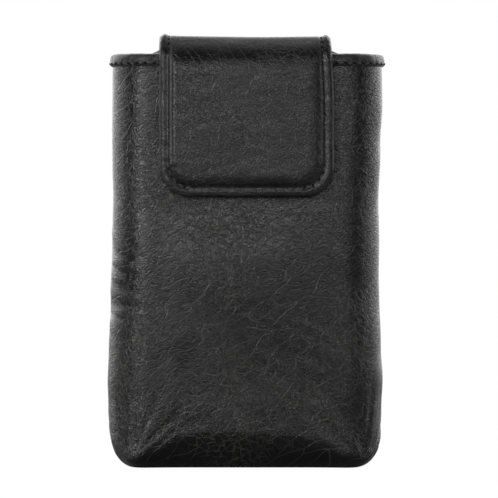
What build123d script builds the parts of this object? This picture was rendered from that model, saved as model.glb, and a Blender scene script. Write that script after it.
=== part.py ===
"""Soft leather pouch for a pocket camera, with a padded flap that folds over the mouth.

Millimetres. +Z is up, the front faces -Y, and the origin is on the floor under the middle of the whole case.
The walls are leather outside, foam or board in the middle, and lining inside. The front, both sides and both
back corners are one wrap; the back panel closes it and carries the flap.
"""

from build123d import *
from math import asin, cos, degrees, radians, sin
import os

# Pouch
body_width = 73.6  # outside of the leather
body_depth = 41.0
rim_height = 111.6  # floor to the top edge of the wall
front_corner = 11.0  # radius of the upright front corners
back_corner = 8.0
base_radius = 7.0  # where the walls turn under

# Layers
leather = 1.2
core = 1.4  # foam in the wrap, board in the back and the bottom
lining = 0.8
wall = leather + core + lining

# Mouth and seams
binding = 0.6  # thickness of the strip folded over the rim
binding_leg = 2.4  # how far it reaches down each face of the wall
thread_width = 0.5
thread_proud = 0.2
rim_thread_drop = 1.9  # rim down to the lower side of its thread
seam_inset = 2.5  # back panel's edge to the middle of its thread

# Flap
flap_width = 49.0
flap_rise = 8.4  # rim to the top of the flap
flap_drop = 36.6  # rim down to the flap's lower edge
flap_corner = 8.5
front_bend = 7.0  # radius of the front fold, at the flap's middle surface
neck_rise = 3.4  # rim to the top of the back panel's neck
rise_angle = 30.0  # slope of the flap where it leaves the rear fold
stitch_inset = 2.5  # flap's edge to the middle of its thread
pad_step = 3.0  # flap's edge to the foot of the raised panel
pad_thickness = 2.0
pad_top_drop = 2.6  # rim down to the top of the pad
thread_clear = 2.6  # nearest a flap thread comes to a fold's axis

# Closure
keeper_radius = 7.0
keeper_thickness = 0.8
magnet_radius = 6.0
magnet_thickness = 1.4
patch_thickness = 0.3
patch_margin = 2.0  # patch beyond the flap's magnet
closure_margin = 1.5  # pad's lower edge up to the patch
pocket_clearance = 0.2

# Belt loop on the back
loop_width = 25.0
loop_strap = 2.2
loop_gap = 5.0
loop_opening = 40.0  # height of the straight stretch
loop_tab = 8.0  # each sewn end
loop_low = 42.0  # floor to the lower sewn end
loop_stitch_inset = 1.5

running_gap = 0.3  # between bodies that move past each other

# Worked out from the above
fold_half = (leather + lining) / 2  # half the flap's thickness where it folds
flap_stand = binding + thread_proud + running_gap  # front leather to the flap's inner face
flap_reach = flap_stand + lining + pad_thickness + leather
loop_reach = loop_gap + loop_strap
middle_y = (flap_reach - loop_reach) / 2  # centres flap, pouch and loop together on the origin
front_y = middle_y - body_depth / 2
back_y = middle_y + body_depth / 2
back_panel_width = body_width - 2 * back_corner

neck_top = rim_height + neck_rise
lift_y = back_y - fold_half
lift_z = neck_top + running_gap + fold_half
top_z = rim_height + flap_rise - fold_half  # middle surface of the flap's flat top
rear_bend = (top_z - lift_z) / (1 - cos(radians(rise_angle)))
rear_centre = (lift_y - rear_bend * sin(radians(rise_angle)), top_z - rear_bend)
flap_y = front_y - flap_stand - fold_half  # middle surface of the hanging flap
front_centre = (flap_y + front_bend, top_z - front_bend)
half_turn = 45.0  # share of the front fold on each side of its axis
fold_y = front_centre[0] - front_bend * sin(radians(half_turn))
fold_z = front_centre[1] + front_bend * cos(radians(half_turn))
hang_z = front_centre[1]  # below this the flap hangs straight
flap_low = rim_height - flap_drop
flap_inner_y = front_y - flap_stand
flap_border_y = flap_inner_y - lining  # between lining and leather
closure_z = flap_low + pad_step + leather + closure_margin + patch_margin + magnet_radius
pad_top = rim_height - pad_top_drop

os.makedirs("parts", exist_ok=True)


def pouch_plan(inset):
    """The pouch's outline seen from above, drawn in by inset."""
    with BuildSketch(Plane.XY) as plan:
        with Locations((0, middle_y)):
            Rectangle(body_width - 2 * inset, body_depth - 2 * inset)
        fillet(plan.vertices().group_by(Axis.Y)[0], front_corner - inset)
        fillet(plan.vertices().group_by(Axis.Y)[-1], back_corner - inset)
    return plan.sketch


def pouch_form(inset):
    """The filled pouch up to the rim, drawn in by inset at the sides and the bottom."""
    with BuildPart() as form:
        with BuildSketch(Plane.XY.offset(inset)):
            add(pouch_plan(inset))
        extrude(amount=rim_height - inset)
        fillet(form.faces().sort_by(Axis.Z)[0].edges(), base_radius - inset)
    return form.part


def slab(low, high, x_half, y_low, y_high):
    """A plain block used to take a share of a shell."""
    with BuildPart() as block:
        with BuildSketch(Plane.XY.offset(low)):
            with Locations((0, (y_low + y_high) / 2)):
                Rectangle(2 * x_half, y_high - y_low)
        extrude(amount=high - low)
    return block.part


outside = pouch_form(0)
inside_leather = pouch_form(leather)
inside_core = pouch_form(leather + core)
inside_lining = pouch_form(wall)
past = body_width + body_depth + neck_top + flap_rise  # reaches past the case on every side
back_share = slab(0, neck_top, back_panel_width / 2, middle_y, past)


def finish(piece, name):
    """Label a finished piece and write it."""
    piece.part.label = name
    export_step(piece.part, f"parts/{name}.step")


# Bottom: leather outside, board, lining. Each layer fills its form up to the next one's floor.
with BuildPart() as bottom_panel_leather:
    add(outside)
    split(bisect_by=Plane.XY.offset(leather), keep=Keep.BOTTOM)
finish(bottom_panel_leather, "bottom_panel_leather")

with BuildPart() as bottom_board:
    add(inside_leather)
    split(bisect_by=Plane.XY.offset(leather + core), keep=Keep.BOTTOM)
finish(bottom_board, "bottom_board")

with BuildPart() as bottom_lining:
    add(inside_core)
    split(bisect_by=Plane.XY.offset(wall), keep=Keep.BOTTOM)
finish(bottom_lining, "bottom_lining")

# Wrap: front, sides and back corners in one piece, in three layers.
with BuildPart() as front_wrap_leather:
    add(outside)
    add(inside_leather, mode=Mode.SUBTRACT)
    add(back_share, mode=Mode.SUBTRACT)
    split(bisect_by=Plane.XY.offset(leather), keep=Keep.TOP)
finish(front_wrap_leather, "front_wrap_leather")

front_inside = Plane.XZ.offset(-(front_y + leather))  # flesh side of the front leather, facing out
with BuildPart() as front_wrap_foam:
    add(inside_leather)
    add(inside_core, mode=Mode.SUBTRACT)
    add(back_share, mode=Mode.SUBTRACT)
    split(bisect_by=Plane.XY.offset(leather + core), keep=Keep.TOP)
    with BuildSketch(front_inside):
        with Locations((0, closure_z)):
            Circle(keeper_radius + pocket_clearance)
    extrude(amount=-(keeper_thickness + patch_thickness), mode=Mode.SUBTRACT)
finish(front_wrap_foam, "front_wrap_foam")

with BuildPart() as front_wrap_lining:
    add(inside_core)
    add(inside_lining, mode=Mode.SUBTRACT)
    add(back_share, mode=Mode.SUBTRACT)
    split(bisect_by=Plane.XY.offset(wall), keep=Keep.TOP)
finish(front_wrap_lining, "front_wrap_lining")

# Closure in the front wall: a steel disc against the leather, held by a cloth patch.
with BuildPart() as keeper_plate:
    with BuildSketch(front_inside):
        with Locations((0, closure_z)):
            Circle(keeper_radius)
    extrude(amount=-keeper_thickness)
finish(keeper_plate, "keeper_plate")

with BuildPart() as keeper_patch:
    with BuildSketch(front_inside.offset(-keeper_thickness)):
        with Locations((0, closure_z)):
            Circle(keeper_radius)
    extrude(amount=-patch_thickness)
finish(keeper_patch, "keeper_patch")


def neck_outline(plane, base_z):
    """The back panel's upper outline: straight edges, then a hollow curve in to the flap's width."""
    edge = back_panel_width / 2
    flap_edge = flap_width / 2
    with BuildSketch(plane) as outline:
        with BuildLine():
            Line((-edge, base_z), (edge, base_z))
            Line((edge, base_z), (edge, rim_height))
            Bezier((edge, rim_height), (flap_edge, rim_height), (flap_edge, neck_top))
            Line((flap_edge, neck_top), (-flap_edge, neck_top))
            Bezier((-flap_edge, neck_top), (-flap_edge, rim_height), (-edge, rim_height))
            Line((-edge, rim_height), (-edge, base_z))
        make_face()
    return outline.sketch


# Back: leather with the neck, a board that stops at the rim, and a lining that steps over the board's top edge.
board_top = rim_height - lining
with BuildPart() as back_panel_leather:
    add(outside)
    add(inside_leather, mode=Mode.SUBTRACT)
    add(back_share, mode=Mode.INTERSECT)
    split(bisect_by=Plane.XY.offset(leather), keep=Keep.TOP)
    extrude(neck_outline(Plane.XZ.offset(-back_y), rim_height - binding_leg), amount=leather)
finish(back_panel_leather, "back_panel_leather")

with BuildPart() as back_board:
    add(inside_leather)
    add(inside_core, mode=Mode.SUBTRACT)
    add(back_share, mode=Mode.INTERSECT)
    split(bisect_by=Plane.XY.offset(leather + core), keep=Keep.TOP)
    split(bisect_by=Plane.XY.offset(board_top), keep=Keep.BOTTOM)
finish(back_board, "back_board")

with BuildPart() as back_lining:
    add(inside_core)
    add(inside_lining, mode=Mode.SUBTRACT)
    add(back_share, mode=Mode.INTERSECT)
    split(bisect_by=Plane.XY.offset(wall), keep=Keep.TOP)
    with BuildSketch(Plane.XY.offset(board_top)):
        with Locations((0, back_y - leather - (core + lining) / 2)):
            Rectangle(back_panel_width, core + lining)
    extrude(amount=lining)
    extrude(neck_outline(Plane.XZ.offset(-(back_y - leather)), board_top), amount=lining)
finish(back_lining, "back_lining")

# Rim: a leather strip folded over the wrap's top edge, from one side of the back panel round to the other.
with BuildPart() as mouth_rim_binding:
    with BuildSketch(Plane.XY.offset(rim_height - binding_leg)):
        add(pouch_plan(-binding))
        add(pouch_plan(wall + binding), mode=Mode.SUBTRACT)
    extrude(amount=binding_leg + binding)
    with BuildSketch(Plane.XY.offset(rim_height - binding_leg)):
        add(pouch_plan(0))
        add(pouch_plan(wall), mode=Mode.SUBTRACT)
    extrude(amount=binding_leg, mode=Mode.SUBTRACT)
    add(slab(0, past, back_panel_width / 2, middle_y, past), mode=Mode.SUBTRACT)
finish(mouth_rim_binding, "mouth_rim_binding")

with BuildPart() as mouth_rim_thread:
    with BuildSketch(Plane.XY.offset(rim_height - rim_thread_drop)):
        add(pouch_plan(-binding - thread_proud))
        add(pouch_plan(-binding), mode=Mode.SUBTRACT)
    extrude(amount=thread_width)
    add(slab(0, past, back_panel_width / 2, middle_y, past), mode=Mode.SUBTRACT)
finish(mouth_rim_thread, "mouth_rim_thread")

# Seams down the back, one thread inside each edge of the back panel.
for side, name in ((-1, "left_back_seam_thread"), (1, "right_back_seam_thread")):
    seam_low = 2 * base_radius
    seam_high = rim_height - binding_leg
    with BuildPart() as seam_thread:
        with BuildSketch(Plane.XZ.offset(-back_y)):
            with Locations((side * (back_panel_width / 2 - seam_inset), (seam_low + seam_high) / 2)):
                Rectangle(thread_width, seam_high - seam_low)
        extrude(amount=-thread_proud)
    finish(seam_thread, name)

# Belt loop: a strap sewn down at both ends, standing off the back between them.
loop_high = loop_low + 2 * loop_tab + 2 * loop_gap + loop_opening
with BuildPart() as belt_loop:
    with BuildSketch(Plane.YZ.offset(-loop_width / 2)):
        with BuildLine():
            Polyline(
                (back_y, loop_low),
                (back_y, loop_low + loop_tab),
                (back_y + loop_gap, loop_low + loop_tab + loop_gap),
                (back_y + loop_gap, loop_high - loop_tab - loop_gap),
                (back_y, loop_high - loop_tab),
                (back_y, loop_high),
                (back_y + loop_strap, loop_high),
                (back_y + loop_strap, loop_high - loop_tab + loop_strap / 2),
                (back_y + loop_reach, loop_high - loop_tab - loop_gap + loop_strap / 2),
                (back_y + loop_reach, loop_low + loop_tab + loop_gap - loop_strap / 2),
                (back_y + loop_strap, loop_low + loop_tab - loop_strap / 2),
                (back_y + loop_strap, loop_low),
                close=True,
            )
        make_face()
    extrude(amount=loop_width)
finish(belt_loop, "belt_loop")

with BuildPart() as belt_loop_threads:
    stitched_width = loop_width - 2 * loop_stitch_inset
    stitched_height = loop_tab - loop_strap / 2 - 2 * loop_stitch_inset
    tab_reach = (loop_tab - loop_strap / 2) / 2
    with BuildSketch(Plane.XZ.offset(-(back_y + loop_strap))):
        with Locations((0, loop_low + tab_reach), (0, loop_high - tab_reach)):
            Rectangle(stitched_width, stitched_height)
            Rectangle(stitched_width - 2 * thread_width, stitched_height - 2 * thread_width, mode=Mode.SUBTRACT)
    extrude(amount=-thread_proud)
finish(belt_loop_threads, "belt_loop_threads")


# Top of the flap: from the rear fold, up over the mouth and half way round the front fold.
def turn_to_clear(distance, radius):
    """Angle about a bend's centre that leaves a straight distance from a point on it."""
    return degrees(asin(distance / radius))


def top_profile(low, high, rear_clear, front_clear):
    """Side view of one layer, between two heights over the middle surface, held back from both folds' axes."""
    rear_start = 90 - rise_angle + turn_to_clear(rear_clear, rear_bend)
    front_turn = half_turn - turn_to_clear(front_clear, front_bend)
    with BuildSketch(Plane.YZ.offset(-flap_width / 2)) as profile:
        with BuildLine():
            rear_upper = CenterArc(rear_centre, rear_bend + high, rear_start, 90 - rear_start)
            rear_lower = CenterArc(rear_centre, rear_bend + low, rear_start, 90 - rear_start)
            front_upper = CenterArc(front_centre, front_bend + high, 90, front_turn)
            front_lower = CenterArc(front_centre, front_bend + low, 90, front_turn)
            Line(rear_upper @ 1, front_upper @ 0)
            Line(rear_lower @ 1, front_lower @ 0)
            Line(rear_upper @ 0, rear_lower @ 0)
            Line(front_upper @ 1, front_lower @ 1)
        make_face()
    return profile.sketch


seam_level = lining - fold_half  # lining meets leather here, measured from the middle surface
end_clear = fold_half + running_gap
with BuildPart() as flap_top_leather:
    extrude(top_profile(seam_level, fold_half, 0, end_clear), amount=flap_width)
    with BuildSketch(Plane.YZ.offset(-flap_width / 2)):
        with Locations((lift_y, lift_z)):
            Circle(fold_half)
    extrude(amount=flap_width)
finish(flap_top_leather, "flap_top_leather")

with BuildPart() as flap_top_lining:
    extrude(top_profile(-fold_half, seam_level, end_clear, end_clear), amount=flap_width)
finish(flap_top_lining, "flap_top_lining")

with BuildPart() as flap_top_threads:
    extrude(top_profile(fold_half, fold_half + thread_proud, thread_clear, thread_clear), amount=flap_width)
    add(slab(0, past, flap_width / 2 - stitch_inset - thread_width / 2, -past, past), mode=Mode.SUBTRACT)
    for side in (-1, 1):
        edge_strip = flap_width / 2 - stitch_inset + thread_width / 2
        split(bisect_by=Plane.YZ.offset(side * edge_strip), keep=Keep.BOTTOM if side > 0 else Keep.TOP)
finish(flap_top_threads, "flap_top_threads")


# Front of the flap: the other half of the front fold, then straight down, padded inside its stitches.
def fold_strip(low, high, clear):
    """The curved stretch of one layer, from near the front fold's axis down to where it hangs straight."""
    start = 90 + half_turn + turn_to_clear(clear, front_bend)
    with BuildSketch(Plane.YZ.offset(-flap_width / 2)) as strip:
        with BuildLine():
            upper = CenterArc(front_centre, front_bend + high, start, 180 - start)
            lower = CenterArc(front_centre, front_bend + low, start, 180 - start)
            Line(upper @ 0, lower @ 0)
            Line(upper @ 1, lower @ 1)
        make_face()
    return strip.sketch


def flap_sheet(y, inset, top, top_corner):
    """The hanging flap's outline at a depth y, drawn in by inset, with rounded lower corners."""
    low = flap_low + inset
    with BuildSketch(Plane.XZ.offset(-y)) as sheet:
        with Locations((0, (low + top) / 2)):
            Rectangle(flap_width - 2 * inset, top - low)
        fillet(sheet.vertices().group_by(Axis.Y)[0], flap_corner - inset)
        if top_corner > 0:
            fillet(sheet.vertices().group_by(Axis.Y)[-1], top_corner)
    return sheet.sketch


pad_inset = pad_step + leather
with BuildPart() as flap_front_leather:
    extrude(flap_sheet(flap_border_y, 0, hang_z, 0), amount=leather)
    extrude(fold_strip(seam_level, fold_half, 0), amount=flap_width)
    with BuildSketch(Plane.YZ.offset(-flap_width / 2)):
        with Locations((fold_y, fold_z)):
            Circle(fold_half)
    extrude(amount=flap_width)
    extrude(flap_sheet(flap_border_y, pad_step, pad_top + leather, 2 * leather), amount=leather + pad_thickness)
    extrude(flap_sheet(flap_border_y, pad_inset, pad_top, leather), amount=pad_thickness, mode=Mode.SUBTRACT)
finish(flap_front_leather, "flap_front_leather")

with BuildPart() as flap_front_lining:
    extrude(flap_sheet(flap_inner_y, 0, hang_z, 0), amount=lining)
    extrude(fold_strip(-fold_half, seam_level, end_clear), amount=flap_width)
finish(flap_front_lining, "flap_front_lining")

with BuildPart() as flap_pad:
    extrude(flap_sheet(flap_border_y, pad_inset, pad_top, leather), amount=pad_thickness)
    with BuildSketch(Plane.XZ.offset(-flap_border_y)):
        with Locations((0, closure_z)):
            Circle(magnet_radius + pocket_clearance)
    extrude(amount=patch_thickness + magnet_thickness, mode=Mode.SUBTRACT)
    with BuildSketch(Plane.XZ.offset(-flap_border_y)):
        with Locations((0, closure_z)):
            Circle(magnet_radius + patch_margin)
    extrude(amount=patch_thickness, mode=Mode.SUBTRACT)
finish(flap_pad, "flap_pad")

with BuildPart() as flap_magnet_patch:
    with BuildSketch(Plane.XZ.offset(-flap_border_y)):
        with Locations((0, closure_z)):
            Circle(magnet_radius + patch_margin)
    extrude(amount=patch_thickness)
finish(flap_magnet_patch, "flap_magnet_patch")

with BuildPart() as flap_magnet:
    with BuildSketch(Plane.XZ.offset(-flap_border_y + patch_thickness)):
        with Locations((0, closure_z)):
            Circle(magnet_radius)
    extrude(amount=magnet_thickness)
finish(flap_magnet, "flap_magnet")

stitch_face_y = flap_border_y - leather
with BuildPart() as flap_front_thread:
    extrude(flap_sheet(stitch_face_y, stitch_inset - thread_width / 2, hang_z, 0), amount=thread_proud)
    extrude(flap_sheet(stitch_face_y, stitch_inset + thread_width / 2, hang_z, 0), amount=thread_proud, mode=Mode.SUBTRACT)
    extrude(fold_strip(fold_half, fold_half + thread_proud, thread_clear), amount=flap_width)
    add(slab(hang_z, past, flap_width / 2 - stitch_inset - thread_width / 2, -past, past), mode=Mode.SUBTRACT)
    for side in (-1, 1):
        edge_strip = flap_width / 2 - stitch_inset + thread_width / 2
        split(bisect_by=Plane.YZ.offset(side * edge_strip), keep=Keep.BOTTOM if side > 0 else Keep.TOP)
finish(flap_front_thread, "flap_front_thread")
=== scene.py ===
import math

import bmesh
import bpy
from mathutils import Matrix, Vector, noise


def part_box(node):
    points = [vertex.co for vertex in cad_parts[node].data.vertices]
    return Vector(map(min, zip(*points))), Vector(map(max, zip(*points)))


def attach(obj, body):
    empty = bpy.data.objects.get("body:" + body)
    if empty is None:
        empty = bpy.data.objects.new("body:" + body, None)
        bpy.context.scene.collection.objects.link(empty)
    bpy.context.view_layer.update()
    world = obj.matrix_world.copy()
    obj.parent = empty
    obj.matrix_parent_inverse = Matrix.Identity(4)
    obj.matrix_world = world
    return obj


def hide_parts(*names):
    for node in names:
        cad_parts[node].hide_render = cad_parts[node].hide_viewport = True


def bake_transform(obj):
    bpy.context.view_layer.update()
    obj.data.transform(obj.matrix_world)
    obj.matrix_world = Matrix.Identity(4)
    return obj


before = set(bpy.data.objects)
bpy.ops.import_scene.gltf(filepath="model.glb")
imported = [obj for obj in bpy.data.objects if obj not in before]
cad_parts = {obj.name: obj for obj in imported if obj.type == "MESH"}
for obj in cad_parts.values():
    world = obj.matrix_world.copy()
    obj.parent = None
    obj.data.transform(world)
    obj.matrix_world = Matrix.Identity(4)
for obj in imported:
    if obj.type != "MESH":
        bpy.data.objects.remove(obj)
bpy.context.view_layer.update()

# ---------------------------------------------------------------------------------------------------------
# Wrap, the front, both sides and both back corners of the pouch.
# One piece of soft black cowhide, cut flat, folded round foam and lining, turned under at the base and
# pulled into a point at each front corner. Handling has creased it, most of all low on the front.
mm = 0.001
wrap_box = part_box("front_wrap_leather")
half_width = wrap_box[1].x
front_y = wrap_box[0].y
back_y = wrap_box[1].y
rim = wrap_box[1].z
front_corner = 11 * mm
back_corner = 8 * mm
leather = 1.2 * mm
fine_step = 0.8 * mm
middle_y = (front_y + back_y) / 2
half_depth = (back_y - front_y) / 2
front_flat = half_width - front_corner
front_turn = front_corner * math.pi / 2
side_flat = back_y - front_y - front_corner - back_corner
back_turn = back_corner * math.pi / 2
half_wrap = front_flat + front_turn + side_flat + back_turn
turn_under = 12 * mm  # leather used up by the turn at the base
cut_height = turn_under + 103 * mm


def smooth(low, high, value):
    """0 below low, 1 above high, and an even turn between them."""
    t = min(max((value - low) / (high - low), 0), 1)
    return t * t * (3 - 2 * t)


def between(knots, value):
    """A value read off a smooth line through pairs of place and value."""
    for (low, first), (high, second) in zip(knots, knots[1:]):
        if value <= high:
            return first + (second - first) * smooth(low, high, value)
    return knots[-1][1]


def along_plan(around):
    """The place on the outline, and which way is out, at a distance round it from the front's middle."""
    side = 1 if around >= 0 else -1
    far = abs(around)
    if far <= front_flat:
        return around, front_y, 0, -1
    far -= front_flat
    if far <= front_turn:
        turn = far / front_corner
        x = front_flat + front_corner * math.sin(turn)
        return side * x, front_y + front_corner * (1 - math.cos(turn)), side * math.sin(turn), -math.cos(turn)
    far -= front_turn
    if far <= side_flat:
        return side * half_width, front_y + front_corner + far, side, 0
    turn = min((far - side_flat) / back_corner, math.pi / 2)
    x = half_width - back_corner * (1 - math.cos(turn))
    return side * x, back_y - back_corner * (1 - math.sin(turn)), side * math.cos(turn), math.sin(turn)


# Height and depth of the turn at the base round the pouch, in millimetres, left side then right side.
turn_heights = (
    [(0, 10.5), (17, 10.5), (24, 7.5), (31, 3.2), (37, 8), (46, 16), (78, 15)],
    [(0, 10.5), (9, 10.5), (20, 8), (28, 5), (33, 3.2), (39, 8), (47, 16), (78, 15)],
)
turn_depths = [(0, 8), (16, 8), (31, 6.6), (48, 7), (66, 7), (78, 7)]


def turned(around, up, depth):
    """The wrap's place in a straight pouch: round the outline, and turned under at its lower end."""
    x, y, out_x, out_y = along_plan(around)
    high = between(turn_heights[around > 0], abs(around) / mm) * mm
    deep = between(turn_depths, abs(around) / mm) * mm
    sharp = 1.45 - 0.4 * smooth(14 * mm, 32 * mm, abs(around))
    if up < turn_under:
        angle = (1 - up / turn_under) * math.pi / 2
        z = depth + (high - depth) * (1 - math.sin(angle) ** sharp)
        inset = depth + (deep - depth) * (1 - math.cos(angle) ** sharp)
    else:
        z = high + (up - turn_under) / (cut_height - turn_under) * (rim - high)
        inset = depth
    return Vector((x - out_x * inset, y - out_y * inset, z)), Vector((out_x, out_y, 0))


# Half width of the filled pouch on each side, and how far its front stands out, by height in millimetres.
left_widths = [
    (17, 38.0), (24, 38.3), (33, 38.0), (46, 37.5), (60, 37.2),
    (72, 36.9), (89, 37.1), (100, 36.9), (114, 36.9),
]
right_widths = [
    (17, 38.0), (24, 38.3), (33, 37.7), (46, 37.5), (60, 37.5),
    (74, 37.1), (89, 37.7), (99, 38.2), (114, 38.1),
]
belly = [(8, 0), (20, 0.4), (57, 2.2), (75, 0.6), (88, 0), (120, 0)]


def settled(point, share=1.0):
    """The same point once the pouch has been filled and used: sides drawn in and out, front and back full."""
    x, y, z = point
    widths = right_widths if x > 0 else left_widths
    wide = x * (1 + share * (between(widths, z / mm) * mm / half_width - 1))
    across = 1 - 0.75 * smooth(8 * mm, 34 * mm, abs(x))
    forward = min(max((middle_y - y) / half_depth, 0), 1) * between(belly, z / mm) * across
    backward = min(max((y - middle_y) / half_depth, 0), 1) * 0.5 * across * smooth(8 * mm, 50 * mm, z)
    backward *= 1 - smooth(70 * mm, 108 * mm, z)
    return Vector((wide, y - forward * mm + backward * mm, z))


def raised_rim(point):
    """The rim stands a little higher than the straight pouch's, and higher still towards the back."""
    rise = between([(-21.6, 2.2), (0, 2.7), (12, 3.6), (20, 4.4)], point.y / mm) * mm
    return point + Vector((0, 0, rise * smooth(84 * mm, 112 * mm, point.z)))


def wander(x, y, size, seed=0.0):
    """Smooth unevenness from about -1 to 1, one swell to each size."""
    return noise.noise(Vector((x / size, y / size, seed)))


def ridges(x, y, seed=0.0):
    """Rounded ridges with narrow creases between them, from 0 in a crease to 1."""
    return min(abs(noise.noise(Vector((x, y, seed)))) * 3.2, 1)


# Where the long creases low on the front fan out from.
fan_x = -12.7 * mm
fan_z = 51.4 * mm


def creased(around, z):
    """How far the used leather stands from its smooth shape."""
    height = 0.34 * wander(around, z, 22 * mm, 1) + 0.09 * wander(around, z, 8 * mm, 2)
    # long creases that fan out low on the front
    far = math.hypot(around - fan_x, z - fan_z)
    turn = math.atan2(z - fan_z, around - fan_x)
    fan = smooth(4 * mm, 12 * mm, far) * (1 - smooth(34 * mm, 52 * mm, far))
    fan *= smooth(-1.45, -1.15, turn) * (1 - smooth(-0.45, -0.1, turn))
    height -= 0.26 * fan * (1 - ridges(turn * 9, far / (30 * mm), 4))
    # gathers along the left corner
    gather = smooth(-46 * mm, -40 * mm, around) * (1 - smooth(-34 * mm, -24 * mm, around))
    gather *= smooth(34 * mm, 42 * mm, z) * (1 - smooth(62 * mm, 72 * mm, z))
    height -= 0.3 * gather * (1 - ridges(around / (16 * mm), z / (4.4 * mm) + 0.3 * around / (8 * mm), 7))
    # puckers that run out of the pulled corners of the base
    for corner in (-31 * mm, 33 * mm):
        far = math.hypot(around - corner, z - 1 * mm)
        turn = math.atan2(z - 1 * mm, around - corner)
        pull = smooth(2 * mm, 6 * mm, far) * (1 - smooth(14 * mm, 28 * mm, far))
        height -= 0.34 * pull * (1 - ridges(turn * 3.4, far / (20 * mm), 9 + corner))
    return height * mm * smooth(2 * mm, 7 * mm, z) * (1 - smooth(106 * mm, 111 * mm, z))


def cut(low, high, step, flip=False):
    """A flat piece between two corners, in squares of about step. Its UV keeps its flat place, in metres."""
    across, along = high[0] - low[0], high[1] - low[1]
    bm = bmesh.new()
    bmesh.ops.create_grid(bm, x_segments=round(across / step), y_segments=round(along / step), size=0.5)
    bmesh.ops.scale(bm, vec=(across, along, 1), verts=bm.verts)
    bmesh.ops.translate(bm, vec=(low[0] + across / 2, low[1] + along / 2, 0), verts=bm.verts)
    flat = bm.loops.layers.uv.new("Flat")
    for face in bm.faces:
        face.smooth = True
        for loop in face.loops:
            loop[flat].uv = loop.vert.co.xy
    if flip:
        bmesh.ops.reverse_faces(bm, faces=bm.faces)
    return bm


def piece(name, bm, material, thickness=0.0, edge=0.0):
    """A finished piece from a shaped sheet, with its thickness on the inner side and cut edges rounded."""
    mesh = bpy.data.meshes.new(name)
    bm.to_mesh(mesh)
    bm.free()
    mesh.materials.append(material)
    made = bpy.data.objects.new(name, mesh)
    bpy.context.scene.collection.objects.link(made)
    if thickness:
        wall = made.modifiers.new("Thickness", "SOLIDIFY")
        wall.thickness = thickness
        wall.offset = -1
    if edge:
        rounding = made.modifiers.new("Cut edges", "BEVEL")
        rounding.width = edge
        rounding.segments = 2
        rounding.limit_method = "ANGLE"
        rounding.angle_limit = math.radians(50)
        rounding.use_clamp_overlap = False
    if made.modifiers:
        finished = bpy.data.meshes.new_from_object(made.evaluated_get(bpy.context.evaluated_depsgraph_get()))
        made.modifiers.clear()
        made.data = finished
        finished.name = name
    return made


def shader(name, colour, roughness, specular=0.5):
    """A new material, its node tree and its main shader."""
    material = bpy.data.materials.new(name)
    material.use_nodes = True
    main = material.node_tree.nodes["Principled BSDF"]
    main.inputs["Base Color"].default_value = (*colour, 1)
    main.inputs["Roughness"].default_value = roughness
    main.inputs["Specular IOR Level"].default_value = specular
    return material, material.node_tree, main


def add_node(tree, kind, settings=(), sockets=()):
    """A node with some of its settings and sockets filled; a socket may be given another node's output."""
    made = tree.nodes.new(kind)
    for name, value in dict(settings).items():
        setattr(made, name, value)
    for name, value in dict(sockets).items():
        if isinstance(value, bpy.types.NodeSocket):
            tree.links.new(value, made.inputs[name])
        else:
            made.inputs[name].default_value = value
    return made


def maths(tree, operation, first, second=0.0, third=0.0):
    """One sum on numbers or on other nodes' outputs."""
    made = add_node(tree, "ShaderNodeMath", {"operation": operation}, {0: first, 1: second, 2: third})
    return made.outputs[0]


def vector_maths(tree, operation, first, second):
    """The same for vectors."""
    made = add_node(tree, "ShaderNodeVectorMath", {"operation": operation}, {0: first, 1: second})
    return made.outputs[0]


def stepped(tree, value, low, high, to_low=0.0, to_high=1.0):
    """A value that eases from to_low to to_high as another passes from low to high."""
    made = add_node(
        tree, "ShaderNodeMapRange", {"interpolation_type": "SMOOTHSTEP"},
        {"Value": value, "From Min": low, "From Max": high, "To Min": to_low, "To Max": to_high},
    )
    return made.outputs[0]


def bumped(tree, main, strength, distance, height):
    """Fine relief on a material, a distance deep for a height of 1."""
    relief = {"Strength": strength, "Distance": distance, "Height": height}
    bump = add_node(tree, "ShaderNodeBump", {}, relief)
    tree.links.new(bump.outputs[0], main.inputs["Normal"])


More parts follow.
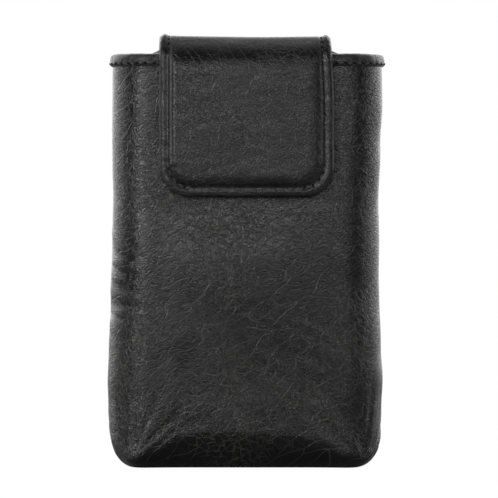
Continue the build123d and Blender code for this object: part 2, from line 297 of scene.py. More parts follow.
def grained_leather(name, pebble=0.85 * mm, folds=False, lay=0.5, wear=1.0, shine=0.33, depth=1.0):
    """Black full-grain cowhide: small pebbles and a web of creases that lie one way, paler where worn."""
    material, tree, main = shader(name, (0.005, 0.005, 0.005), shine)
    flat = add_node(tree, "ShaderNodeUVMap", {"uv_map": "Flat"}).outputs[0]

    def mottle(scale, detail):
        """Cloudy unevenness over the flat leather."""
        return add_node(
            tree, "ShaderNodeTexNoise", {"noise_dimensions": "2D"},
            {"Vector": flat, "Scale": scale, "Detail": detail},
        )

    def swayed(base, scale, reach):
        """Flat places moved about by a noise of that scale, as far as reach."""
        moved = vector_maths(tree, "MULTIPLY_ADD", mottle(scale, 2.0).outputs["Color"], reach)
        tree.links.new(base, moved.node.inputs[2])
        return moved

    def creases(place, scale, width):
        """A web of narrow lines, 1 on a line and 0 beside it."""
        cells = add_node(
            tree, "ShaderNodeTexVoronoi", {"feature": "DISTANCE_TO_EDGE", "voronoi_dimensions": "2D"},
            {"Vector": place, "Scale": scale},
        )
        return stepped(tree, cells.outputs["Distance"], 0.0, width, 1.0, 0.0)

    def turned_and_drawn(place, turn, stretch):
        """Flat places turned and then drawn out, so that the creases on them lie one way."""
        lain = add_node(tree, "ShaderNodeMapping", {}, {"Vector": place, "Rotation": (0, 0, turn)})
        drawn = {"Vector": lain.outputs[0], "Scale": (1 / stretch, 1, 1)}
        return add_node(tree, "ShaderNodeMapping", {}, drawn).outputs[0]

    soft = swayed(flat, 120.0, (2.6 * mm,) * 3)
    place = swayed(soft, 620.0, (1.5 * mm,) * 3)
    pebbles = maths(tree, "SUBTRACT", 1.0, creases(turned_and_drawn(place, 0.3, 1.25), 1 / pebble, 0.30))
    crumbs = maths(tree, "SUBTRACT", 1.0, creases(place, 2.2 / pebble, 0.30))
    patch = mottle(42.0, 3.0)
    patches = stepped(tree, patch.outputs["Fac"], 0.40, 0.66)
    web = maths(tree, "MULTIPLY", creases(turned_and_drawn(place, lay, 2.4), 640.0, 0.10), patches)
    cross = maths(tree, "MULTIPLY", creases(turned_and_drawn(soft, lay - 1.1, 4.5), 330.0, 0.035), 0.6)
    marks = maths(tree, "MAXIMUM", maths(tree, "MULTIPLY", web, 0.8), cross)
    if folds:
        fan_place = add_node(tree, "ShaderNodeUVMap", {"uv_map": "Fan"}).outputs[0]
        fan_sway = swayed(fan_place, 200.0, (0.10, 0.20, 0))
        between_spokes = maths(tree, "MULTIPLY", creases(fan_sway, 26.0, 0.07), 0.5)
        spokes = maths(tree, "MAXIMUM", creases(fan_sway, 11.0, 0.045), between_spokes)
        where = add_node(tree, "ShaderNodeAttribute", {"attribute_name": "fan"}).outputs["Fac"]
        marks = maths(tree, "MAXIMUM", marks, maths(tree, "MULTIPLY", spokes, where))
    fine = mottle(4200.0, 3.0)
    height = maths(tree, "MULTIPLY_ADD", pebbles, 0.60, maths(tree, "MULTIPLY", crumbs, 0.20))
    height = maths(tree, "MULTIPLY_ADD", fine.outputs["Fac"], 0.16, height)
    height = maths(tree, "MULTIPLY_ADD", marks, -1.25, height)
    bumped(tree, main, 0.9, 0.075 * mm * depth, height)
    worn = maths(tree, "MULTIPLY", marks, wear)
    worn = maths(tree, "MULTIPLY_ADD", patch.outputs["Fac"], 0.12, worn)
    colour = add_node(tree, "ShaderNodeValToRGB", {}, {"Fac": worn})
    colour.color_ramp.elements[0].color = (0.0034, 0.0032, 0.0033, 1)
    colour.color_ramp.elements[1].color = (0.052, 0.048, 0.046, 1)
    tree.links.new(colour.outputs["Color"], main.inputs["Base Color"])
    rough = maths(tree, "MULTIPLY_ADD", patch.outputs["Fac"], 0.20, shine - 0.10)
    rough = maths(tree, "MULTIPLY_ADD", pebbles, -0.05, rough)
    tree.links.new(rough, main.inputs["Roughness"])
    return material


def wrapped(around, up, depth=0.0, used=True):
    """Where a point of the flat-cut wrap ends up on the finished pouch."""
    point, out = turned(around, up, depth)
    if used:
        point += out * creased(around, point.z)
    return raised_rim(settled(point))


wrap_material = grained_leather("Creased black leather", folds=True, shine=0.27, depth=0.95)
wrap = cut((-half_wrap, 0), (half_wrap, cut_height), fine_step)
fan_map = wrap.loops.layers.uv.new("Fan")
fan_share = wrap.verts.layers.float.new("fan")
for face in wrap.faces:
    for loop in face.loops:
        east, north = loop.vert.co.x - fan_x, loop.vert.co.y - fan_z
        loop[fan_map].uv = (math.atan2(north, east) * 1.3, math.hypot(north, east) / (40 * mm))
for vert in wrap.verts:
    east, north = vert.co.x - fan_x, vert.co.y - fan_z
    turn, far = math.atan2(north, east), math.hypot(north, east)
    share = smooth(-1.6, -1.15, turn) * (1 - smooth(-0.35, 0.1, turn))
    vert[fan_share] = share * smooth(3 * mm, 12 * mm, far) * (1 - smooth(36 * mm, 56 * mm, far))
    vert.co = wrapped(vert.co.x, vert.co.y)
front_wrap = piece("pouch_wrap_leather", wrap, wrap_material, leather, 0)
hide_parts("front_wrap_leather")
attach(front_wrap, "pouch")

# ---------------------------------------------------------------------------------------------------------
# Foam and lining inside the wrap.
# Thin closed-cell foam is glued to the flesh side, and black microsuede over it, each cut smaller than the
# leather. They follow the same folds.
core = 1.4 * mm
lining = 0.8 * mm
coarse_step = 1.6 * mm


def toned(tree, main, colour, dark, light, share):
    """Runs a material's colour from a darker to a lighter shade of one colour, and hands back the ramp."""
    tone = add_node(tree, "ShaderNodeValToRGB", {}, {"Fac": share})
    tone.color_ramp.elements[0].color = (*(c * dark for c in colour), 1)
    tone.color_ramp.elements[1].color = (*(c * light for c in colour), 1)
    tree.links.new(tone.outputs["Color"], main.inputs["Base Color"])
    return tone.color_ramp


def fine_foam(name, colour):
    """Closed-cell sheet foam, with its cells showing as a fine mottle."""
    material, tree, main = shader(name, colour, 0.85, 0.3)
    flat = add_node(tree, "ShaderNodeTexCoord").outputs["Object"]
    cells = add_node(tree, "ShaderNodeTexVoronoi", {}, {"Vector": flat, "Scale": 3000.0})
    toned(tree, main, colour, 0.7, 1.2, cells.outputs["Distance"])
    bumped(tree, main, 0.5, 0.1 * mm, cells.outputs["Distance"])
    return material


def brushed_suede(name, colour):
    """Microsuede: a short nap that lies in patches, with a soft sheen."""
    material, tree, main = shader(name, colour, 0.9, 0.2)
    flat = add_node(tree, "ShaderNodeTexCoord").outputs["Object"]
    nap = add_node(tree, "ShaderNodeTexNoise", {}, {"Vector": flat, "Scale": 4200.0, "Detail": 4.0})
    lay = add_node(tree, "ShaderNodeTexNoise", {}, {"Vector": flat, "Scale": 120.0, "Detail": 3.0})
    half_lay = maths(tree, "MULTIPLY", lay.outputs["Fac"], 0.5)
    both = maths(tree, "MULTIPLY_ADD", nap.outputs["Fac"], 0.5, half_lay)
    ramp = toned(tree, main, colour, 0.6, 1.5, both)
    ramp.elements[0].position = 0.3
    ramp.elements[1].position = 0.7
    bumped(tree, main, 0.6, 0.15 * mm, nap.outputs["Fac"])
    main.inputs["Sheen Weight"].default_value = 0.25
    main.inputs["Sheen Roughness"].default_value = 0.4
    return material


foam_material = fine_foam("Grey sheet foam", (0.30, 0.29, 0.28))
suede = brushed_suede("Black suede lining", (0.030, 0.029, 0.029))
for name, node, depth, thick, finish, slot in (
    ("pouch_wrap_foam", "front_wrap_foam", leather, core, foam_material, "foam_padding"),
    ("pouch_wrap_lining", "front_wrap_lining", leather + core, lining, suede, "black_suede_lining"),
):
    layer = cut((-half_wrap, 2 * mm), (half_wrap, cut_height - 0.4 * mm), coarse_step)
    for vert in layer.verts:
        vert.co = wrapped(vert.co.x, vert.co.y, depth, used=False)
    made = piece(name, layer, finish, thick, 0)
    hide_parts(node)
    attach(made, "pouch")

# ---------------------------------------------------------------------------------------------------------
# Base.
# A leather panel let in behind the turned edge of the wrap, a stiff board on it, and lining over the board.
# They are cut to the pouch's outline and glued.


def stiff_board(name, colour):
    """Pressed fibre board, mottled and dull."""
    material, tree, main = shader(name, colour, 0.8, 0.3)
    flat = add_node(tree, "ShaderNodeTexCoord").outputs["Object"]
    fibres = add_node(tree, "ShaderNodeTexNoise", {}, {"Vector": flat, "Scale": 900.0, "Detail": 6.0})
    toned(tree, main, colour, 0.7, 1.3, fibres.outputs["Fac"])
    return material


board_material = stiff_board("Brown fibre board", (0.24, 0.17, 0.11))
base_material = grained_leather("Base leather", wear=0.6)


def plate(inset, low, high, material, name, node):
    """A flat piece with the pouch's outline drawn in by inset, between two heights."""
    bm = bmesh.new()
    x, y_low, y_high = half_width - inset, front_y + inset + 1 * mm, back_y - inset
    places = ((-x, y_low, low), (x, y_low, low), (x, y_high, low), (-x, y_high, low))
    corners = [bm.verts.new(place) for place in places]
    bm.faces.new(corners)
    for near, radius in ((corners[:2], front_corner - inset), (corners[2:], 2 * mm)):
        bmesh.ops.bevel(
            bm, geom=near, offset=max(radius, 1.5 * mm), affect="VERTICES", segments=8, profile=0.5,
            material=-1,
        )
    grown = bmesh.ops.extrude_face_region(bm, geom=bm.faces[:])["geom"]
    upper = [g for g in grown if isinstance(g, bmesh.types.BMVert)]
    bmesh.ops.translate(bm, vec=(0, 0, high - low), verts=upper)
    bmesh.ops.recalc_face_normals(bm, faces=bm.faces)
    flat = bm.loops.layers.uv.new("Flat")
    for vert in bm.verts:
        vert.co = settled(vert.co)
    for face in bm.faces:
        for loop in face.loops:
            loop[flat].uv = loop.vert.co.xy
    made = piece(name, bm, material, 0, 0.2 * mm)
    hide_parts(node)
    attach(made, "pouch")


plate(6.2 * mm, 1.3 * mm, 2.0 * mm, base_material, "base_leather", "bottom_panel_leather")
plate(6.3 * mm, 2.0 * mm, 3.0 * mm, board_material, "base_board", "bottom_board")
plate(6.3 * mm, 3.0 * mm, 3.8 * mm, suede, "base_lining", "bottom_lining")

# ---------------------------------------------------------------------------------------------------------
# Back panel, neck and the rear half of the flap's top.
# One long strip of the same leather closes the back, lapped over the wrap and sewn down both edges. Above
# the rim it narrows to the flap and rolls forward over the mouth. The front of the flap carries on from the
# middle of its top, so both share one border, one stitch line and one lift over the pad.
flap_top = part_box("flap_top_leather")[1].z
flap_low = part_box("flap_front_leather")[0].z
flap_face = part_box("flap_front_lining")[0].y - leather  # border leather's outer face
lap = 0.5 * mm
rear_radius = 9.5 * mm
front_radius = 8.0 * mm
neck_from = flap_top - rear_radius
flat_end = flap_face + front_radius
split_y = -4 * mm
up_back = turn_under + neck_from - 15 * mm  # straight stretch above the turn at the base
rear_arc = rear_radius * math.pi / 2
front_arc = front_radius * math.pi / 2
flat_start = back_y + lap - rear_radius
to_split = up_back + rear_arc + flat_start - split_y
to_bend = up_back + rear_arc + flat_start - flat_end
to_hang = to_bend + front_arc
strip_end = to_hang + flap_top - front_radius - flap_low


def strip_path(up, depth=0.0):
    """Side view of the strip from the base round to the flap's lower edge: place, and which way is out."""
    if up < turn_under:
        angle = (1 - up / turn_under) * math.pi / 2
        y = back_y + lap - depth - (7 * mm - depth) * (1 - math.cos(angle))
        return y, depth + (15 * mm - depth) * (1 - math.sin(angle)), math.cos(angle), -math.sin(angle)
    if up < up_back:
        return back_y + lap - depth, up - turn_under + 15 * mm, 1, 0
    if up < up_back + rear_arc:
        angle = (up - up_back) / rear_radius
        radius = rear_radius - depth
        y = flat_start + radius * math.cos(angle)
        return y, neck_from + radius * math.sin(angle), math.cos(angle), math.sin(angle)
    if up < to_bend:
        return flat_start - (up - up_back - rear_arc), flap_top - depth, 0, 1
    if up < to_hang:
        angle = (up - to_bend) / front_radius
        radius = front_radius - depth
        y = flat_end - radius * math.sin(angle)
        return y, flap_top - front_radius + radius * math.cos(angle), -math.sin(angle), math.cos(angle)
    return flap_face + depth, flap_top - front_radius - (up - to_hang), -1, 0


panel_half = half_width - back_corner + 0.6 * mm
flap_left = -23.6 * mm
flap_right = 24.5 * mm
half_flap = (flap_right - flap_left) / 2


def strip_edges(up, z):
    """The strip's left and right edges: full width on the back, then a hollow curve in to the flap."""
    if up < up_back:
        return -panel_half, panel_half
    t = 1
    if up < up_back + rear_arc:
        t = 1 - (1 - min(max((z - 116.2 * mm) / (3.4 * mm), 0), 1)) ** 2.4
    taper = 1 - smooth(to_bend, to_hang + 12 * mm, up)
    right = flap_right - 0.9 * mm * taper
    return -panel_half + t * (flap_left + panel_half), panel_half + t * (right - panel_half)


def laid_strip(share, up, depth=0.0, lift=0.0):
    """Where a point of the strip ends up. share runs from -1 at its left edge to 1 at its right edge."""
    y, z, out_y, out_z = strip_path(up, depth)
    left, right = strip_edges(up, strip_path(up)[1])
    x = left + (right - left) * (share + 1) / 2
    if up < up_back + rear_arc:
        ear = smooth(24 * mm, 28.5 * mm, abs(x)) * smooth(up_back, up_back + rear_arc, up)
        y += ear * (back_y + lap - depth - y) * 0.8
    point = Vector((x, y + out_y * lift, z + out_z * lift))
    # the top sags a little between its stiff edges
    on_top = smooth(up_back + 4 * mm, up_back + rear_arc, up) * (1 - smooth(to_bend, to_hang, up))
    point.z -= on_top * 0.6 * mm * (1 - share * share) * (0.8 + 0.4 * wander(x, y, 14 * mm, 5))
    point.z -= on_top * 0.35 * mm * smooth(0, 1, share)
    if up < up_back + rear_arc:
        point = settled(point, 1 - smooth(112 * mm, 118 * mm, z))
    return point


flap_corner = 8.5 * mm


def rounded_end(share, up):
    """Rounds the flap's two lower corners, drawing a square-cut sheet's corner in to an arc."""
    over_x = max((abs(share) * half_flap - (half_flap - flap_corner)) / flap_corner, 0)
    over_up = max((up - (strip_end - flap_corner)) / flap_corner, 0)
    if over_x > 0 and over_up > 0:
        x = over_x * math.sqrt(max(1 - over_up * over_up / 2, 0))
        over_up = over_up * math.sqrt(max(1 - over_x * over_x / 2, 0))
        share = math.copysign((half_flap - flap_corner + x * flap_corner) / half_flap, share)
        up = strip_end - flap_corner + over_up * flap_corner
    return share, up


stitch_in = 2.6 * mm
pad_height = 2.3 * mm


def inside_stitches(share, up):
    """Distance in from the stitch line on the left, the right and at the bottom."""
    x = share * half_flap
    line = half_flap - stitch_in
    low = strip_end - stitch_in - up
    left, right = x + line, line - x
    corner = flap_corner - stitch_in
    if low < corner and min(left, right) < corner:
        near = min(left, right)
        far = corner - math.hypot(corner - low, corner - near)
        return (far, right, far) if left < right else (left, far, far)
    return left, right, low


def pad_lift(share, up):
    """How far the padded panel's leather stands above the border's."""
    left, right, low = inside_stitches(share, up)
    nearest = min(left, right, low)
    if nearest < 0:
        # border: puckered between the stitches, thin at its cut edge
        edge = 1 - smooth(0, 1.3 * mm, stitch_in + nearest)
        x = share * half_flap
        pucker = wander(x + up * 0.3, up - x * 0.3, 1.9 * mm, 21) * 0.26 + wander(x, up, 6 * mm, 22) * 0.2
        rise = 0.25 * math.sin(math.pi * min(-nearest / stitch_in, 1))
        groove = -0.35 * (1 - smooth(0, 0.7 * mm, -nearest))
        return (pucker * (1 - edge) + rise + groove - 0.45 * edge) * mm
    shoulders = ((left, 2.0 * mm), (right, 5.0 * mm), (low, 3.6 * mm))
    full = 1.0
    for far, wide in shoulders:
        t = min(max(far / wide, 0), 1)
        full *= (1 - (1 - t) ** 2.2) ** 0.75
    full *= smooth(to_hang - 8 * mm, to_hang + 3.5 * mm, up)
    x = share * half_flap
    wrinkle = 0.05 * wander(x / 3.5, up, 2.6 * mm, 23) + 0.12 * wander(x, up, 16 * mm, 24)
    wrinkle -= 0.10 * (1 - ridges(x / (16 * mm), up / (4.2 * mm), 25)) * smooth(to_bend, to_hang, up)
    groove = -0.35 * (1 - smooth(0, 0.8 * mm, nearest))
    return (pad_height / mm * full + wrinkle * smooth(0, 3 * mm, nearest) + groove) * mm


strip_leather = grained_leather("Strip leather", lay=0.1, wear=0.6, shine=0.34, depth=0.8)
panel = cut((-panel_half, 0), (panel_half, to_split), fine_step, flip=True)
for vert in panel.verts:
    x, up = vert.co.x, vert.co.y
    uneven = (0.16 * wander(x, up, 20 * mm, 11) + 0.05 * wander(x, up, 5 * mm, 12)) * mm
    edge = smooth(panel_half - 1.2 * mm, panel_half, abs(x)) * 0.3 * mm
    on_top = smooth(up_back + 3 * mm, up_back + rear_arc, up)
    lift = (1 - on_top) * (uneven - edge) + on_top * pad_lift(x / panel_half, up)
    vert.co = laid_strip(x / panel_half, up, 0, lift)
back_strip = piece("back_panel_and_neck", panel, strip_leather, leather, 0)
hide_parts("back_panel_leather", "flap_top_leather")
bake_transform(back_strip)

# ---------------------------------------------------------------------------------------------------------
# Board and linings behind the strip.
# The back is stiffened with board and lined with suede. The lining carries on up the neck, over the mouth
# and down the inside of the flap, glued and then caught in the border stitches.
for name, node, depth, thick, top, finish, slot in (
    ("back_board_sheet", "back_board", leather, core, 109 * mm, board_material, "stiffener_board"),
    ("back_lining_sheet", "back_lining", leather + core, lining, 110 * mm, suede, "black_suede_lining"),
):
    low, high = (-panel_half + 1 * mm, 2 * mm), (panel_half - 1 * mm, turn_under + top - 15 * mm)
    layer = cut(low, high, coarse_step, flip=True)
    for vert in layer.verts:
        vert.co = laid_strip(vert.co.x / panel_half, vert.co.y, depth)
    made = piece(name, layer, finish, thick, 0)
    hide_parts(node)
    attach(made, "pouch")


def strip_layer(low, high, step, depth, lift=None, reach=1.0):
    """A stretch of the strip between two distances along it, at a depth below the leather's outer face."""
    sheet = cut((-half_flap, low), (half_flap, high), step, flip=True)
    for vert in sheet.verts:
        share, up = rounded_end(vert.co.x / half_flap * reach, vert.co.y)
        vert.co = laid_strip(share, up, depth, lift(share, up) if lift else 0)
    return sheet


neck_inside = turn_under + 95.5 * mm
under_leather = leather + 0.02 * mm
rear_lining = strip_layer(neck_inside, to_split, coarse_step, under_leather, reach=0.99)
flap_lining_rear = piece("flap_lining_rear", rear_lining, suede, lining, 0)
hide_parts("flap_top_lining")
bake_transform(flap_lining_rear)

# ---------------------------------------------------------------------------------------------------------
# Front of the flap.
# The same strip ends in a padded panel: a foam pad sits between leather and lining, and the leather is
# drawn down hard round it by a row of stitches, so the pad stands up and the border outside puckers.
front = strip_layer(to_split, strip_end, 0.55 * mm, 0, pad_lift)
flap_front = piece("flap_padded_leather", front, strip_leather, leather, 0)
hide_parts("flap_front_leather")
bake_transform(flap_front)

front_lining = strip_layer(to_split, strip_end, 1.0 * mm, under_leather, reach=0.99)
flap_lining_front = piece("flap_lining_front", front_lining, suede, lining, 0)
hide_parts("flap_front_lining")
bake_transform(flap_lining_front)

pad_half = half_flap * 0.84
pad_core = cut((-pad_half, to_hang + 4 * mm), (pad_half, strip_end - 5.5 * mm), 1.2 * mm, flip=True)
for vert in pad_core.verts:
    share, up = rounded_end(vert.co.x / half_flap, vert.co.y)
    vert.co = laid_strip(share, up, leather, max(pad_lift(share, up) - 0.25 * mm, 0.1 * mm))
pad_piece = piece("flap_foam_pad", pad_core, foam_material, 1.3 * mm, 0)
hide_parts("flap_pad")
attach(pad_piece, "flap_front")

# ---------------------------------------------------------------------------------------------------------
# Rim binding.
# A strip of thinner leather folded over the raw top edge of the wrap, from one back seam round to the
# other, and sewn through along its lower edge.
wall = leather + core + lining
binding = 0.6 * mm
leg = 2.6 * mm
over_rim = 6.0 * mm
binding_length = 2 * leg + over_rim


def bound(around, across, proud=0.0):
    """Where a point of the folded binding ends up: up the outside, over the rim, and down the inside."""
    x, y, out_x, out_y = along_plan(around)
    middle = -wall / 2
    reach = wall / 2 + binding
    pucker = 0.14 * mm * wander(around, across, 2.2 * mm, 31) + 0.2 * mm * wander(around, 0, 11 * mm, 32)
    if across < leg:
        out, up = middle + reach, across - leg
        out += pucker - 0.3 * mm * (1 - smooth(0, 0.9 * mm, across))
        out += 0.12 * mm * math.sin(math.pi * across / leg)
    elif across < leg + over_rim:
        angle = (across - leg) / over_rim * math.pi
        out, up = middle + (reach + pucker) * math.cos(angle), (0.9 * mm + pucker) * math.sin(angle)
    else:
        out, up = middle - reach, leg + over_rim - across
    out += proud
    return raised_rim(settled(Vector((x + out_x * out, y + out_y * out, rim + up))))


binding_leather = grained_leather("Binding leather", pebble=0.7 * mm, wear=1.1)
band = cut((-half_wrap, 0), (half_wrap, binding_length), 0.7 * mm)
for vert in band.verts:
    vert.co = bound(vert.co.x, vert.co.y)
rim_band = piece("rim_binding_leather", band, binding_leather, 0.5 * mm, 0.12 * mm)
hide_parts("mouth_rim_binding")
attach(rim_band, "pouch")

# ---------------------------------------------------------------------------------------------------------
# Belt loop.
# A doubled strap of the same leather on the back, sewn down at both ends and standing off between them so
# that a belt passes through.
loop_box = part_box("belt_loop")
strap_half = loop_box[1].x
strap_low, strap_high = loop_box[0].z, loop_box[1].z
strap_thick = 2.2 * mm
stand_off = loop_box[1].y - back_y - strap_thick
tab = 8 * mm


def on_strap(x, z, proud=0.0):
    """Where a point of the strap's outer face ends up, with the strap bowed out between its sewn ends."""
    rise = smooth(strap_low + tab - 1 * mm, strap_low + tab + 9 * mm, z)
    rise *= 1 - smooth(strap_high - tab - 9 * mm, strap_high - tab + 1 * mm, z)
    edge = 0.35 * mm * smooth(strap_half - 1.4 * mm, strap_half, abs(x))
    y = back_y + lap + strap_thick - 0.3 * mm + rise * stand_off - edge + proud
    y += 0.08 * mm * wander(x, z, 5 * mm, 41)
    return settled(Vector((x, y, z)))


strap = cut((-strap_half, strap_low), (strap_half, strap_high), fine_step, flip=True)
for vert in strap.verts:
    vert.co = on_strap(vert.co.x, vert.co.y)
loop = piece("belt_loop_strap", strap, strip_leather, strap_thick - 0.2 * mm, 0.3 * mm)
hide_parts("belt_loop")
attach(loop, "pouch")

# ---------------------------------------------------------------------------------------------------------
# Stitches.
# Bonded black thread, sewn at about ten stitches to the inch. Each stitch lies in its own short hollow
# between two needle holes. The holes are small near-black lumps, painted shade in place of real holes.
stitch_thick = 0.5 * mm
stitch_pitch = 2.35 * mm
thread_proud = 0.08 * mm


def twisted_thread(name, colour):
    """Waxed thread: fine slanting plies with a low shine."""
    material, tree, main = shader(name, colour, 0.5)
    flat = add_node(tree, "ShaderNodeTexCoord").outputs["Object"]
    plies = add_node(
        tree, "ShaderNodeTexWave", {"bands_direction": "DIAGONAL"},
        {"Vector": flat, "Scale": 900.0, "Distortion": 1.0},
    )
    toned(tree, main, colour, 0.7, 1.5, plies.outputs["Fac"])
    bumped(tree, main, 0.5, 0.08 * mm, plies.outputs["Fac"])
    return material


thread = twisted_thread("Black thread", (0.05, 0.049, 0.048))
# the needle holes' near-black finish is painted shade, standing for the shade inside each hole
needle_hole_shade = fine_foam("Needle hole painted shade", (0.002, 0.002, 0.002))


def sewn(name, rows, nodes, long=1.45 * mm):
    """One mesh of stitches and near-black needle holes, the holes painted shade. A row lists (place, outward
    direction) at the pitch.
    """
    bm = bmesh.new()
    for row in rows:
        for (here, out), (there, _) in zip(row, row[1:]):
            run = there - here
            if run.length < 1e-6:
                continue
            ahead = run.normalized()
            side = out.cross(ahead).normalized()
            up = ahead.cross(side)
            for centre, length, width, tall, slot in (
                ((here + there) / 2, long, stitch_thick, 0.42 * mm, 0),
                # needle hole: a flat near-black lump, painted shade where the real hole is only a dent
                (here + up * 0.05 * mm, 0.95 * mm, 0.8 * mm, 0.3 * mm, 1),
            ):
                made = bmesh.ops.create_uvsphere(bm, u_segments=6, v_segments=4, radius=0.5)["verts"]
                for vert in made:
                    x, y, z = vert.co
                    vert.co = centre + ahead * z * length + side * x * width + up * y * tall
                for face in {f for v in made for f in v.link_faces}:
                    face.smooth = True
                    face.material_index = slot
    bmesh.ops.recalc_face_normals(bm, faces=bm.faces)
    made = piece(name, bm, thread)
    made.data.materials.append(needle_hole_shade)
    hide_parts(*nodes)
    return made


def row_on(place, run, pitch=stitch_pitch):
    """Stitch ends at an even pitch along a run of flat points, laid by place, with probes to find out."""
    marks = [run[0]]
    left = pitch
    for (ax, ay), (bx, by) in zip(run, run[1:]):
        length = math.hypot(bx - ax, by - ay)
        done = 0
        while length - done >= left:
            done += left
            marks.append((ax + (bx - ax) * done / length, ay + (by - ay) * done / length))
            left = pitch
        left -= length - done
    row = []
    for x, y in marks:
        here = place(x, y)
        probe = 0.3 * mm
        out = (place(x + probe, y) - place(x - probe, y)).cross(place(x, y + probe) - place(x, y - probe))
        row.append((here, out.normalized()))
    return row


def faced(row):
    """The same row with its directions turned round, for pieces laid face down."""
    return [(place, -out) for place, out in row]


def on_flap(x, up):
    """The flap's stitch line: a point across and along the strip, just above the leather."""
    share = x / half_flap
    return laid_strip(share, up, 0, pad_lift(share, up) + 0.12 * mm if up > to_split else 0.1 * mm)


line = half_flap - stitch_in
low_line = strip_end - stitch_in
bow = flap_corner - stitch_in
arc = [(bow * math.sin(a * math.pi / 16), bow * math.cos(a * math.pi / 16)) for a in range(9)]
front_run = [(-line, to_split + 0.4 * mm), (-line, low_line - bow)]
front_run += [(-line + bow - across, low_line - bow + down) for down, across in arc]
front_run += [(line - bow + down, low_line - bow + across) for down, across in arc]
front_run += [(line, to_split + 0.4 * mm)]
front_stitches = sewn("flap_front_stitches", [faced(row_on(on_flap, front_run))], ["flap_front_thread"])
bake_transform(front_stitches)

rows = []
for side in (-1, 1):
    run = [(side * line, up_back + 9 * mm), (side * line, to_split - 0.6 * mm)]
    rows.append(faced(row_on(on_flap, run)))
top_stitches = sewn("flap_top_stitches", rows, ["flap_top_threads"])
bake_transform(top_stitches)


def on_rim(around, across):
    """The rim's stitch line, on the outer leg of the binding."""
    return bound(around, across, thread_proud)


rim_run = [(-half_wrap + 1 * mm, 0.75 * mm), (half_wrap - 1 * mm, 0.75 * mm)]
rim_stitches = sewn("rim_stitches", [row_on(on_rim, rim_run)], ["mouth_rim_thread"])
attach(rim_stitches, "pouch")


def on_back(x, up):
    """The back's seams: a point across and along the strip, just above the leather."""
    return laid_strip(x / panel_half, up, 0, 0.1 * mm)


for side, name in ((-1, "left_back_seam_thread"), (1, "right_back_seam_thread")):
    x = side * (panel_half - 2.2 * mm)
    run = [(x, turn_under + 2 * mm), (x, up_back + 1.5 * mm)]
    seam = sewn(name.replace("thread", "stitches"), [faced(row_on(on_back, run))], [name])
    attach(seam, "pouch")


def on_loop(x, z):
    """A box of stitches on one end of the belt loop's strap."""
    return on_strap(x, z, thread_proud)


box_rows = []
for end in (strap_low, strap_high - tab):
    x = strap_half - 1.8 * mm
    low, high = end + 1.6 * mm, end + tab - 1.6 * mm
    square = [(-x, low), (x, low), (x, high), (-x, high), (-x, low)]
    box_rows.append(faced(row_on(on_loop, square)))
loop_stitches = sewn("belt_loop_stitches", box_rows, ["belt_loop_threads"])
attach(loop_stitches, "pouch")

# ---------------------------------------------------------------------------------------------------------
# Closure.
# A magnet in the flap's pad and a plated steel disc behind the front leather, each held by a cloth patch.
# They are sewn in and never seen, and keep their exact shapes.


def brushed_metal(name, colour, roughness):
    """Metal with fine turning marks and a little unevenness."""
    material, tree, main = shader(name, colour, roughness)
    main.inputs["Metallic"].default_value = 1.0
    flat = add_node(tree, "ShaderNodeTexCoord").outputs["Object"]
    marks = add_node(tree, "ShaderNodeTexNoise", {}, {"Vector": flat, "Scale": 1500.0, "Detail": 4.0})
    uneven = stepped(tree, marks.outputs["Fac"], 0.3, 0.7, roughness - 0.08, roughness + 0.1)
    tree.links.new(uneven, main.inputs["Roughness"])
    return material


steel = brushed_metal("Plated steel", (0.62, 0.61, 0.58), 0.3)
magnet = brushed_metal("Magnet plating", (0.4, 0.4, 0.41), 0.35)
patch_cloth = brushed_suede("Patch cloth", (0.1, 0.1, 0.1))
for node, finish in (
    ("keeper_plate", steel),
    ("keeper_patch", patch_cloth),
    ("flap_magnet", magnet),
    ("flap_magnet_patch", patch_cloth),
):
    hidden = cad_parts[node]
    hidden.data.materials.clear()
    hidden.data.materials.append(finish)

# ---------------------------------------------------------------------------------------------------------
# Studio.
# A floor that is white to the camera and grey to the leather, and five soft lamps: front, left, right and two
# behind. The surround is white to the camera; to the leather it is bright behind the case and dim in front.
bm = bmesh.new()
bmesh.ops.create_grid(bm, x_segments=2, y_segments=2, size=4)
floor_material, tree, main = shader("Pale floor", (0.3, 0.3, 0.3), 0.9, 0.2)
seen = add_node(tree, "ShaderNodeLightPath")
white = add_node(tree, "ShaderNodeEmission", {}, {"Color": (1, 1, 1, 1), "Strength": 1.06})
seen_share = maths(tree, "MULTIPLY", seen.outputs["Is Camera Ray"], 0.93)
lit = add_node(tree, "ShaderNodeMixShader", {}, {0: seen_share})
tree.links.new(main.outputs[0], lit.inputs[1])
tree.links.new(white.outputs[0], lit.inputs[2])
tree.links.new(lit.outputs[0], tree.nodes["Material Output"].inputs["Surface"])
floor = piece("studio_floor", bm, floor_material)


lamp_distance = 1.5


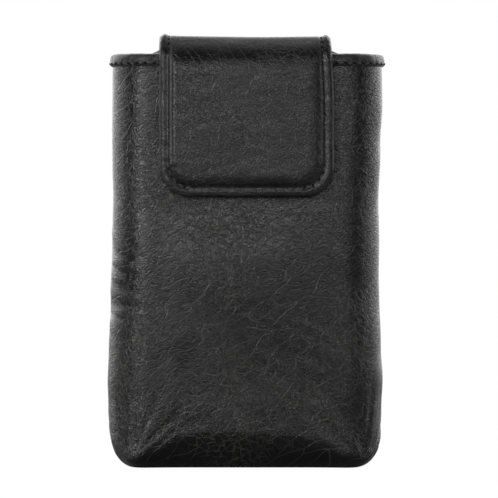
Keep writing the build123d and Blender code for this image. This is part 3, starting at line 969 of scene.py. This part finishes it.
def soft_lamp(name, azimuth, elevation, size, watts):
    """A rectangular soft lamp aimed at the case; azimuth is from the camera's side, to the right."""
    lamp = bpy.data.lights.new(name, "AREA")
    lamp.shape = "RECTANGLE"
    lamp.size, lamp.size_y = size
    lamp.energy = watts
    placed = bpy.data.objects.new(name, lamp)
    bpy.context.scene.collection.objects.link(placed)
    a, e = math.radians(azimuth), math.radians(elevation)
    towards = Vector((math.sin(a) * math.cos(e), -math.cos(a) * math.cos(e), math.sin(e)))
    placed.location = Vector((0, 0, 0.06)) + towards * lamp_distance
    placed.rotation_euler = towards.to_track_quat("Z", "Y").to_euler()


soft_lamp("Front lamp", -6, 14, (0.6, 0.34), 2.6)
soft_lamp("Left lamp", -34, 12, (0.30, 1.0), 9.5)
soft_lamp("Right lamp", 22, 14, (0.26, 0.8), 2.2)
soft_lamp("Back left lamp", -135, 25, (0.7, 0.9), 4)
soft_lamp("Back right lamp", 135, 25, (0.7, 0.9), 4)

world = bpy.data.worlds.new("Studio surround")
bpy.context.scene.world = world
world.use_nodes = True
tree = world.node_tree
paths = add_node(tree, "ShaderNodeLightPath")
way = add_node(tree, "ShaderNodeTexCoord").outputs["Generated"]
split_way = add_node(tree, "ShaderNodeSeparateXYZ", {}, {"Vector": way})
behind = stepped(tree, split_way.outputs["Y"], -0.32, 0.12, 0.03, 1.0)
level = stepped(tree, split_way.outputs["Z"], 0.25, 0.8, 1.0, 0.25)
gloss = maths(tree, "MULTIPLY", behind, level)
fill = maths(tree, "MULTIPLY", maths(tree, "SUBTRACT", 1.0, paths.outputs["Is Camera Ray"]), gloss)
strength = maths(tree, "MULTIPLY_ADD", fill, 2.1, paths.outputs["Is Camera Ray"])
tree.links.new(strength, tree.nodes["Background"].inputs["Strength"])
tree.nodes["Background"].inputs["Color"].default_value = (1, 1, 1, 1)

camera_data = bpy.data.cameras.new("Camera")
camera = bpy.data.objects.new("Camera", camera_data)
bpy.context.scene.collection.objects.link(camera)
camera.location = (1.1 * mm, -1.0, 60.7 * mm)
camera.rotation_euler = (math.pi / 2, 0, 0)
camera_data.lens = 256.7
camera_data.sensor_width = 36
bpy.context.scene.camera = camera
bpy.context.scene.view_settings.view_transform = "Standard"
